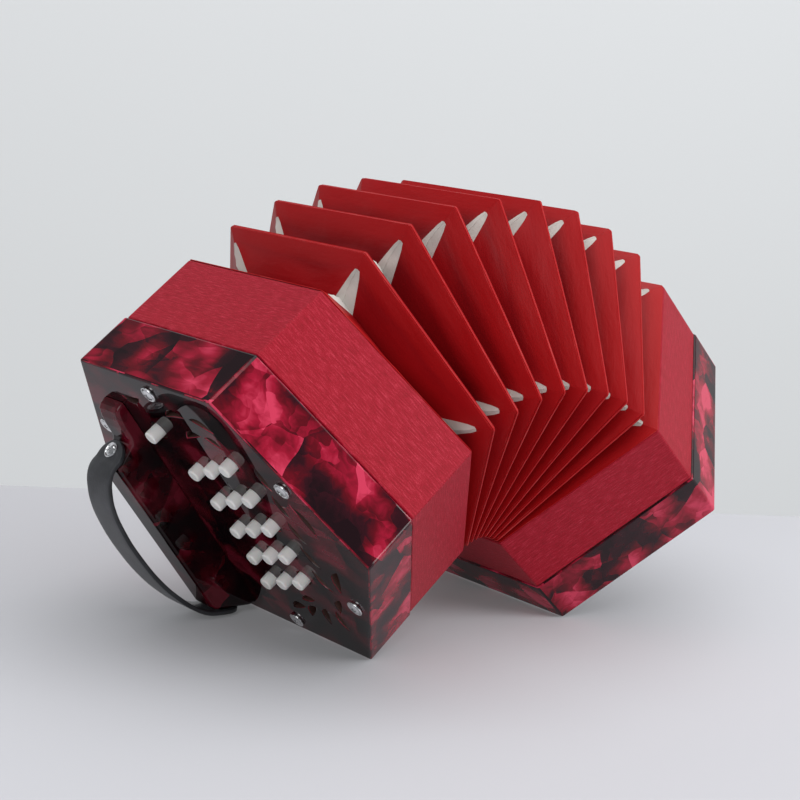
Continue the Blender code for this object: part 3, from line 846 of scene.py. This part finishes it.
def rod(name, start, end):
    """A flat lever strip between two (x, z) points."""
    bpy.ops.mesh.primitive_cube_add(size=1)
    piece = added(name)
    along = Vector((end[0] - start[0], 0, end[1] - start[1]))
    piece.data.transform(Matrix.Diagonal((along.length, LEVER_WIDE, LEVER_TALL, 1)))
    turn = Matrix.Rotation(-math.atan2(along.z, along.x), 4, 'Y')
    middle = Vector(((start[0] + end[0]) / 2, 0, (start[1] + end[1]) / 2))
    piece.data.transform(Matrix.Translation(middle) @ turn)
    round_edges(piece, 0.0003, 2, 40)
    return piece


def button(name):
    """Cap, lever and pad of one right-hand button, still in the end's own axes."""
    cap_x, cap_y, cap_top = caps[name]
    node_low = in_end(name)[0]
    pad_x = node_low.x + PAD_RADIUS + 0.0002
    cap = drum("cap", CAP_RADIUS, CAP_FOOT, cap_top, (cap_x, 0), 40)
    choose(cap, 'FACE', lambda f: f.normal.z > 0.9)
    bpy.ops.mesh.inset(thickness=CAP_INSET)
    bpy.ops.transform.translate(value=(0, 0, CAP_DOME))
    leave()
    round_edges(cap, CAP_ROUND, 4, 25)
    height = pivot_z - LEVER_BELOW
    bar = rod("bar", (pivot_x - 0.003, height), (cap_x, height))
    tail = rod("tail", (pad_x, node_low.z + PAD_TALL + 0.0012), (pivot_x - 0.002, height))
    pad = drum("pad", PAD_RADIUS, node_low.z + 0.0001, node_low.z + PAD_TALL, (pad_x, 0), 28)
    round_edges(pad, 0.0005, 2, 40)
    for part, finish in ((cap, ivory), (bar, lever_metal), (tail, lever_metal), (pad, felt)):
        part.data.materials.append(finish)
    whole = join([cap, bar, tail, pad], f"{name}_key")
    whole.data.transform(Matrix.Translation((0, cap_y, 0)))
    shade(whole, 35)
    return whole


# %% All thirty-one of them
for name in caps:
    key = button(name)
    dress(key, "ivory")
    if name != "air_button":
        left_name = name.replace("right", "left")
        other = twin(key, key.name.replace("right", "left"))
        seat_twin(other, left_name, left_name)
    seat(key, name, name)
print(len(caps) * 2 - 1, "buttons, levers and pads")

# %% [markdown]
# ## The bellows frames
#
# A wooden frame wrapped in red leatherette joins each end to the bellows. It's a six-sided block with
# both faces inset and bridged through, and its edges are rounded where the covering turns over them.

# %% Grain that follows the sides
def lay_wrap(piece):
    """Store at every face corner the distance along its side, the depth and the side's number."""
    layer = piece.data.attributes.new("wrap", 'FLOAT_VECTOR', 'CORNER')
    for face in piece.data.polygons:
        side = round(math.atan2(face.center.y, face.center.x) / (math.pi / 3) - 0.5)
        turn = (side + 0.5) * math.pi / 3
        along = Vector((-math.sin(turn), math.cos(turn)))
        for corner in face.loop_indices:
            place = piece.data.vertices[piece.data.loops[corner].vertex_index].co
            inward = FRAME_APOTHEM - abs(Vector((along.y, -along.x)).dot(place.xy))
            layer.data[corner].vector = (along.dot(place.xy), place.z - inward, side * 0.37)


# %% Bellows frame
frame_box_low, frame_box_high = in_end("right_bellows_frame")
FRAME_WALL, FRAME_ROUND = 0.006, 0.0009
wrap = hexagon("right_leatherette_frame", FRAME_APOTHEM, frame_box_low.z, frame_box_high.z)
choose(wrap, 'FACE', lambda f: abs(f.normal.z) > 0.9)
bpy.ops.mesh.inset(thickness=FRAME_WALL)
bpy.ops.mesh.bridge_edge_loops()
leave()
round_edges(wrap, FRAME_ROUND, 3, 40)
lay_wrap(wrap)
shade(wrap, 30)
dress(wrap, "leatherette", leatherette)
seat_pair(wrap, "right_bellows_frame")

# %% [markdown]
# ## The bellows
#
# Eight folds stand out between nine valleys. Each gap between two folds holds a pair of card rings
# that meet in the valley, six stiff cards to a ring. A card starts as a flat grid, and a rule wraps
# it between its ridge and its valley: the column says how far along the side a point lies, the row
# how deep. The last column at each end turns the corner. Near the ridge it is red and closed; deeper
# down it is the pale gusset leather, creased in and out, that lets the corner open.

# %% Rules of the fold
CARD_WIDTH, CARD, RIDGE, SETBACK, CHAMFER = 0.027, 0.0005, 0.0011, 0.0006, 0.0009
STAND_OFF, AT_FRAME = RIDGE / 2 + CARD / 2, 0.0003      # from the plane of a fold, and of a frame
COLUMNS, ROWS, GUSSET_ROW = 12, 10, 3
GUSSET_TIP, GUSSET_START, GUSSET_END, GUSSET_RIDGE = 0.0016, 0.0022, 0.0078, 0.0014
CREASE, CREASE_BACK, CREASE_OUT, CORNER_CUT, RIPPLE = 0.45, 0.4, 0.6, 0.35, 0.0007
spread = math.tan(STEP / 2)
corners = [(FRAME_APOTHEM / math.cos(math.pi / 6) * math.cos(i * math.pi / 3),
            FRAME_APOTHEM / math.cos(math.pi / 6) * math.sin(i * math.pi / 3)) for i in range(6)]


def arch(angle):
    """Axes of a plane through the fan axis: X along the arch, Y across, Z outwards."""
    return Matrix.Translation((0, 0, AXIS_Z)) @ Matrix.Rotation(angle, 4, 'Y')


def fold_point(corner, s, stand_off):
    """A point s of the way from the ridge to the valley, on the mitre line of a corner."""
    ridge_out = (CENTRE + corner[1]) * spread - stand_off
    depth = math.sqrt(CARD_WIDTH ** 2 - ridge_out ** 2)
    inset = SETBACK + s * (depth - SETBACK)
    scale = 1 - inset / FRAME_APOTHEM
    return Vector((-ridge_out * (1 - s), corner[0] * scale, CENTRE + corner[1] * scale))


def corner_share(row):
    """How far from the corner a card's stiff part ends in this row."""
    if row < GUSSET_ROW:
        return CHAMFER
    if row == GUSSET_ROW:
        return GUSSET_TIP
    t = (row - GUSSET_ROW) / (ROWS - GUSSET_ROW)
    return GUSSET_START + (GUSSET_END - GUSSET_START) * t


def hanging(gap, half):
    """A gap's middle plane, flipped for the half that lies against the next fold."""
    plane = arch(-TILT + STEP * (gap - 0.5))
    return plane @ MIRROR if half == "b" else plane


def card_vertex(side, column, row, stand_off, seed):
    """Where a grid point of one card lies, in the axes of its gap's middle plane."""
    first, last = corners[side], corners[(side + 1) % 6]
    edge, s = corner_share(row), row / ROWS
    a, b = fold_point(first, s, stand_off), fold_point(last, s, stand_off)
    length = (b - a).length
    outward = Vector((0, (first[0] + last[0]) / 2, (first[1] + last[1]) / 2)).normalized()
    if column in (0, COLUMNS):
        corner = a if column == 0 else b
        if row <= GUSSET_ROW:
            inward = Vector((0, -corner.y, CENTRE - corner.z)).normalized()
            return corner + inward * CHAMFER * CORNER_CUT
        t = (row - GUSSET_ROW) / (ROWS - GUSSET_ROW)
        crease = GUSSET_RIDGE * (math.sin(math.pi * t) + (CREASE if row % 2 else -CREASE) * t)
        room = abs(corner.x)
        return corner + Vector((1, 0, 0)) * max(-CREASE_BACK * room, min(CREASE_OUT * room, crease))
    u = edge / length + (1 - 2 * edge / length) * (column - 1) / (COLUMNS - 2)
    place = a.lerp(b, u)
    ripple = noise.noise(Vector((u * 5, s * 3, seed))) + 0.5 * noise.noise(Vector((u * 14, s * 2, seed + 9)))
    amount = RIPPLE * math.sin(math.pi * min(1, s * 1.1)) * min(1, 6 * u, 6 * (1 - u))
    return place + (Vector((1, 0, 0)) + outward * 0.5) * ripple * amount


# %% One card
def card(name, gap, half, side):
    """Half 'a' lies against the fold nearer the right-hand end, half 'b' against the next one."""
    at_frame = gap == (1 if half == "a" else FOLDS + 1)
    stand_off = AT_FRAME if at_frame else STAND_OFF
    bpy.ops.mesh.primitive_grid_add(x_subdivisions=COLUMNS, y_subdivisions=ROWS, size=1)
    piece = added(name)
    wrap = piece.data.attributes.new("wrap", 'FLOAT_VECTOR', 'POINT')
    plane = hanging(gap, half)
    seed = gap * 7.3 + side * 1.7 + (half == "b") * 3.1
    for vertex, value in zip(piece.data.vertices, wrap.data):
        column, row = round((vertex.co.x + 0.5) * COLUMNS), round((vertex.co.y + 0.5) * ROWS)
        value.vector = (vertex.co.x * FRAME_APOTHEM * 1.15, row / ROWS * CARD_WIDTH, seed)
        vertex.co = plane @ card_vertex(side, column, row, stand_off, seed)
    piece.data.materials.append(paper)
    piece.data.materials.append(gusset)
    for face in piece.data.polygons:
        column, row = face.index % COLUMNS, face.index // COLUMNS
        face.material_index = 1 if column in (0, COLUMNS - 1) and row >= GUSSET_ROW else 0
    apply(piece, 'SOLIDIFY', thickness=CARD, offset=0)
    shade(piece, 28, keep_flat=False)
    dress(piece, "bellows_paper")
    return piece


for gap in range(1, FOLDS + 2):
    for half in "ab":
        for side in range(6):
            piece = card(f"card_{gap}{half}_{side + 1}", gap, half, side)
            if half == "a":
                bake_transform(piece)
            else:
                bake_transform(piece)
            if half == "a" and side == 0:
                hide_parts(f"fold_cards_{gap}")
print(12 * (FOLDS + 1), "cards hung")

# %% Bindings along the ridges
BIND_DEPTH, BIND_CORNER = 0.0040, 0.0010


def binding(number):
    """A thin six-sided ring with clipped corners and a rounded crest."""
    ring = hexagon(f"ridge_binding_{number}", FRAME_APOTHEM, -RIDGE / 2, RIDGE / 2)
    choose(ring, 'EDGE', lambda e: abs(ring.data.vertices[e.vertices[0]].co.z
                                       - ring.data.vertices[e.vertices[1]].co.z) > RIDGE / 2)
    bpy.ops.mesh.bevel(offset=BIND_CORNER, segments=2, affect='EDGES')
    leave()
    choose(ring, 'FACE', lambda f: abs(f.normal.z) > 0.9)
    bpy.ops.mesh.inset(thickness=BIND_DEPTH)
    bpy.ops.mesh.bridge_edge_loops()
    leave()
    round_edges(ring, RIDGE * 0.3, 2, 50)
    wrap = ring.data.attributes.new("wrap", 'FLOAT_VECTOR', 'POINT')
    for vertex, value in zip(ring.data.vertices, wrap.data):
        x, y = abs(vertex.co.x), abs(vertex.co.y)
        inward = FRAME_APOTHEM - max(y, x * math.cos(math.pi / 6) + y / 2)
        value.vector = (vertex.co.x, inward, number)
    upright = Matrix(((0, 0, 1, 0), (1, 0, 0, 0), (0, 1, 0, CENTRE), (0, 0, 0, 1)))
    ring.data.transform(arch(-TILT + STEP * number) @ upright)
    shade(ring, 40)
    dress(ring, "bellows_paper", paper)
    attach(ring, f"fold_{number}")
    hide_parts(f"bellows_fold_{number}")
    return ring


for number in range(1, FOLDS + 1):
    binding(number)
print(FOLDS, "ridge bindings")

# %% [markdown]
# ## Inside the ends
#
# The action board and the reed pan stay as the frame has them: flat boards with clean edges need no
# new shape, only their timber finish.

# %% Timber on the boards
for hand in ("right", "left"):
    for name in (f"{hand}_action_board", f"{hand}_reed_pan"):
        for place in frame["nodes"][name].material_slots:
            place.material = timber

# %% [markdown]
# ## Camera, floor and light
#
# The camera stands at the instrument's front, a little above it, with a long lens and a slight roll.
# A pale table fills the lower half of the view, with a pale wall behind. One big soft light hangs
# overhead and two smaller ones stand in front, left and right. The sky gives little light, so that
# gloss stays dark and rich, but it looks pale where the camera sees it.

# %% Camera
CAMERA_PLACE = Vector((-0.6327, -0.6286, 0.2864))
CAMERA_AIM = Vector((-0.0157, 0.0056, 0.1218))
CAMERA_ROLL = math.radians(5.67)
LENS = 73.3

camera_data = bpy.data.cameras.new("camera")
camera = bpy.data.objects.new("camera", camera_data)
bpy.context.scene.collection.objects.link(camera)
camera.location = CAMERA_PLACE
look = (CAMERA_AIM - CAMERA_PLACE).to_track_quat('-Z', 'Y').to_matrix()
camera.rotation_euler = (look @ Matrix.Rotation(CAMERA_ROLL, 3, 'Z')).to_euler()
camera_data.lens = LENS
bpy.context.scene.camera = camera

# %% Table and wall
TABLE_EDGE = (Vector((-0.073, 0.328, 0)), Vector((0.4415, 0.0254, 0)))
edge_way = (TABLE_EDGE[1] - TABLE_EDGE[0]).normalized()
away = Vector((-edge_way.y, edge_way.x, 0))
TABLE_REACH, WALL_BEHIND, WALL_HIGH = 1.6, 0.9, 2.2

bpy.ops.mesh.primitive_plane_add(size=1)
table = added("table")
for vertex in table.data.vertices:
    side, back = vertex.co.x, vertex.co.y - 0.5
    vertex.co = TABLE_EDGE[0].lerp(TABLE_EDGE[1], 0.5) + edge_way * side * 6 + away * back * TABLE_REACH
bpy.ops.mesh.primitive_plane_add(size=1)
wall = added("wall")
for vertex in wall.data.vertices:
    side, high = vertex.co.x, vertex.co.y
    foot = TABLE_EDGE[0].lerp(TABLE_EDGE[1], 0.5) + away * WALL_BEHIND
    vertex.co = foot + edge_way * side * 8 + Vector((0, 0, high * WALL_HIGH))
for backdrop, colour, glow in ((table, (0.46, 0.46, 0.49), 0.08), (wall, (0.38, 0.39, 0.40), 0.38)):
    finish, tree, shader = material(f"{backdrop.name} paint", Roughness=0.8, Emission_Strength=glow)
    shader.inputs["Base Color"].default_value = (*colour, 1)
    shader.inputs["Emission Color"].default_value = (0.97, 0.99, 1.0, 1)
    backdrop.data.materials.append(finish)
    backdrop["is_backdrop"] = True

# %% Soft lights and a pale sky
def softbox(name, place, aim, size, watts):
    light = bpy.data.lights.new(name, 'AREA')
    light.shape = 'RECTANGLE'
    light.size, light.size_y = size
    light.energy = watts
    lamp = bpy.data.objects.new(name, light)
    lamp.location = place
    lamp.rotation_euler = (Vector(aim) - Vector(place)).to_track_quat('-Z', 'Y').to_euler()
    bpy.context.scene.collection.objects.link(lamp)


softbox("overhead", (0.0, -0.2, 1.7), (0, 0, 0.1), (2.4, 2.4), 33)
softbox("left front", (-1.5, -0.7, 0.8), (0, 0, 0.05), (1.0, 1.0), 8)
softbox("right front", (0.9, -1.6, 0.9), (0, 0, 0.1), (1.3, 1.0), 23)
SKY_LIGHT, SKY_SEEN = 0.28, 0.80
sky = bpy.data.worlds.new("pale studio")
sky.use_nodes = True
dome = sky.node_tree.nodes["Background"]
dome.inputs["Color"].default_value = (0.80, 0.83, 0.86, 1)
rays = sky.node_tree.nodes.new('ShaderNodeLightPath')
seen = maths(sky.node_tree, 'MULTIPLY_ADD', rays.outputs["Is Camera Ray"], SKY_SEEN - SKY_LIGHT)
seen.node.inputs[2].default_value = SKY_LIGHT
sky.node_tree.links.new(seen, dome.inputs["Strength"])
bpy.context.scene.world = sky

# %% Colours as they are, without a film curve
bpy.context.scene.view_settings.view_transform = 'Standard'

# %% Finish
low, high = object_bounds()
